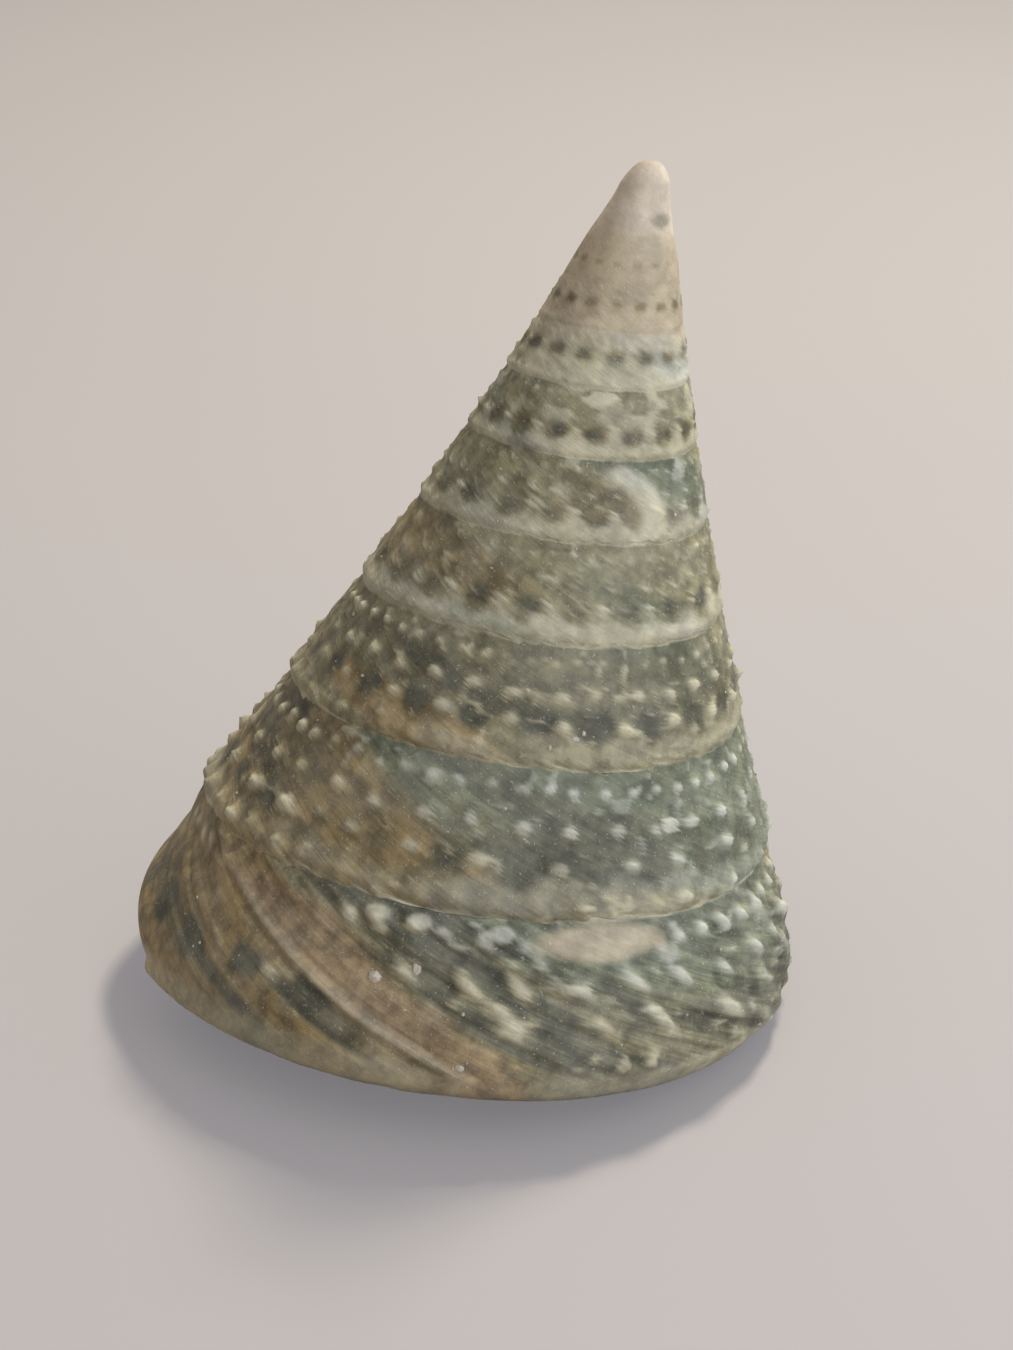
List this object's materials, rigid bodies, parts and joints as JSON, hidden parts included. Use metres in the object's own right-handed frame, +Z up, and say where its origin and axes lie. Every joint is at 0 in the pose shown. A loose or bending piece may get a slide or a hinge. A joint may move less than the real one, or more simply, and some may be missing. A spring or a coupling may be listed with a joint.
{
  "type": "top shell",
  "caption": "Tall conical top shell with beaded whorls, a worn blunt tip and an open mouth, standing on its base.",
  "frame": {"origin": "centre of the bounding box at the table the shell stands on", "axes": "+Z up, -Y towards the viewer of the picture, the mouth on the -X side, the tip leaning to +X and +Y"},
  "size_m": [0.0332, 0.0328, 0.0417],
  "materials": {
    "shell": "worn, dusty, slightly waxy shell: grey-green and brown with pale knobs and a cream tip",
    "grit": "rough pale grains of sand and crust stuck to the shell"
  },
  "bodies": {
    "root": {"shell": "shell"}
  },
  "joints": []
}
